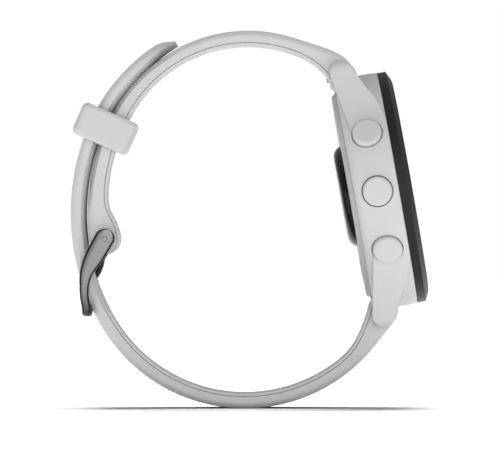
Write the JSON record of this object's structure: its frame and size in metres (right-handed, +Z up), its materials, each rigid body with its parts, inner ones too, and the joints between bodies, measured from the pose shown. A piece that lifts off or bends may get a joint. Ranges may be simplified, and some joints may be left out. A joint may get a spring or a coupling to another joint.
{
  "type": "gps running watch",
  "caption": "Round sports watch with a flat glass, five side buttons and a raised heart-rate window, on a buckled silicone strap with a sliding keeper.",
  "frame": {"origin": "on the surface that the strap stands on, under the middle of the watch's overall box", "axes": "+X the way the display faces, which looks up by 10 degrees; +Z up; +Y towards three o'clock"},
  "size_m": [0.0659, 0.0441, 0.0694],
  "materials": {
    "strap_silicone": "moulded matte silicone",
    "case_polymer": "moulded fibre-filled polymer",
    "cover_polymer": "moulded polymer",
    "button_polymer": "satin moulded polymer",
    "bezel_metal": "satin charcoal coating on steel",
    "cover_glass": "polished flat mineral glass",
    "display_black": "dark transflective panel",
    "gasket_rubber": "matte rubber",
    "inner_plastic": "black moulded plastic",
    "board_green": "solder mask",
    "tin_plate": "tinned sheet",
    "battery_foil": "foil pouch",
    "flex_amber": "polyimide film",
    "steel": "turned stainless steel",
    "tungsten": "sintered",
    "brass": "rolled sheet",
    "gold_pins": "plated",
    "sensor_black": "polished black window",
    "switch_metal": "stamped",
    "buckle_steel": "bead-blasted gunmetal",
    "tang_steel": "dark satin"
  },
  "bodies": {
    "case": {"antenna_ring": "inner_plastic", "back_cover": "cover_polymer", "back_gasket": "gasket_rubber", "back_screws": "steel", "back_spring": "steel", "battery": "battery_foil", "battery_foam": "gasket_rubber", "beeper_disc": "brass", "bezel_ring": "bezel_metal", "button_seals": "gasket_rubber", "button_switches": "switch_metal", "case_middle": "case_polymer", "charge_pins": "gold_pins", "charge_port": "inner_plastic", "chassis": "inner_plastic", "cover_glass": "cover_glass", "display_flex": "flex_amber", "display_gasket": "gasket_rubber", "display_panel": "display_black", "down_spring": "steel", "left_switch_strip": "flex_amber", "light_spring": "steel", "main_board": "board_green", "motor_can": "tin_plate", "right_switch_strip": "flex_amber", "sensor_board": "board_green", "sensor_leds": "inner_plastic", "sensor_window": "sensor_black", "shield_cans": "tin_plate", "start_spring": "steel", "up_spring": "steel"},
    "rotor": {"rotor_weight": "tungsten", "motor_axle": "steel"},
    "buckle_strap_half": {"buckle_strap": "strap_silicone", "top_bar_tube": "steel", "top_bar_spring": "steel", "top_bar_fixed_tip": "steel"},
    "top_release": {"top_bar_release": "steel"},
    "hole_strap_half": {"hole_strap": "strap_silicone", "bottom_bar_tube": "steel", "bottom_bar_spring": "steel", "bottom_bar_fixed_tip": "steel"},
    "bottom_release": {"bottom_bar_release": "steel"},
    "keeper": {"keeper": "strap_silicone"},
    "buckle": {"buckle_frame": "buckle_steel", "buckle_pin": "buckle_steel"},
    "tang": {"tang": "tang_steel"},
    "start_button": {"start_button": "button_polymer", "start_clip": "steel"},
    "back_button": {"back_button": "button_polymer", "back_clip": "steel"},
    "light_button": {"light_button": "button_polymer", "light_clip": "steel"},
    "up_button": {"up_button": "button_polymer", "up_clip": "steel"},
    "down_button": {"down_button": "button_polymer", "down_clip": "steel"}
  },
  "joints": [
    {"name": "rotor_spin", "type": "hinge", "parent": "case", "child": "rotor", "pos_m": [0.02029, -0.006, 0.05274], "axis": [0, 1, 0], "continuous": true},
    {"name": "start_press", "type": "slide", "parent": "case", "child": "start_button", "axis": [0.0868, -0.866, -0.4924], "range_m": [0, 0.0006], "stiffness_N_per_m": 1200, "springref_m": -0.0003, "deforming": ["start_spring"]},
    {"name": "back_press", "type": "slide", "parent": "case", "child": "back_button", "axis": [-0.0868, -0.866, 0.4924], "range_m": [0, 0.0006], "stiffness_N_per_m": 1200, "springref_m": -0.0003, "deforming": ["back_spring"]},
    {"name": "light_press", "type": "slide", "parent": "case", "child": "light_button", "axis": [0.0868, 0.866, -0.4924], "range_m": [0, 0.0006], "stiffness_N_per_m": 1200, "springref_m": -0.0003, "deforming": ["light_spring"]},
    {"name": "up_press", "type": "slide", "parent": "case", "child": "up_button", "axis": [0, 1, 0], "range_m": [0, 0.0006], "stiffness_N_per_m": 1200, "springref_m": -0.0003, "deforming": ["up_spring"]},
    {"name": "down_press", "type": "slide", "parent": "case", "child": "down_button", "axis": [-0.0868, 0.866, 0.4924], "range_m": [0, 0.0006], "stiffness_N_per_m": 1200, "springref_m": -0.0003, "deforming": ["down_spring"]},
    {"name": "buckle_strap_swing", "type": "hinge", "parent": "case", "child": "buckle_strap_half", "pos_m": [0.01693, 0, 0.06088], "axis": [0, 1, 0], "range_deg": [-3, 3], "stiffness_Nm_per_rad": 0.6, "deforming": ["hole_strap"]},
    {"name": "hole_strap_swing", "type": "hinge", "parent": "case", "child": "hole_strap_half", "pos_m": [0.0245, 0, 0.01794], "axis": [0, 1, 0], "range_deg": [-2.4, 2.4], "stiffness_Nm_per_rad": 0.6},
    {"name": "top_release_slide", "type": "slide", "parent": "buckle_strap_half", "child": "top_release", "axis": [0, -1, 0], "range_m": [0, 0.0015], "stiffness_N_per_m": 300, "springref_m": -0.001, "deforming": ["top_bar_spring"]},
    {"name": "bottom_release_slide", "type": "slide", "parent": "hole_strap_half", "child": "bottom_release", "axis": [0, 1, 0], "range_m": [0, 0.0015], "stiffness_N_per_m": 300, "springref_m": -0.001, "deforming": ["bottom_bar_spring"]},
    {"name": "keeper_slide", "type": "hinge", "parent": "buckle_strap_half", "child": "keeper", "pos_m": [0.0072, 0, 0.0368], "axis": [0, 1, 0], "range_deg": [-13, 16]},
    {"name": "buckle_swing", "type": "hinge", "parent": "buckle_strap_half", "child": "buckle", "pos_m": [-0.0267, 0, 0.03112], "axis": [0, 1, 0], "range_deg": [-0.5, 1.5]},
    {"name": "tang_swing", "type": "hinge", "parent": "buckle", "child": "tang", "pos_m": [-0.0267, 0, 0.03112], "axis": [0, 1, 0], "range_deg": [0, 1.5]}
  ],
  "couplings": [
    {"joint": "hole_strap_swing", "follows": "buckle_strap_swing", "ratio": 0.76}
  ]
}
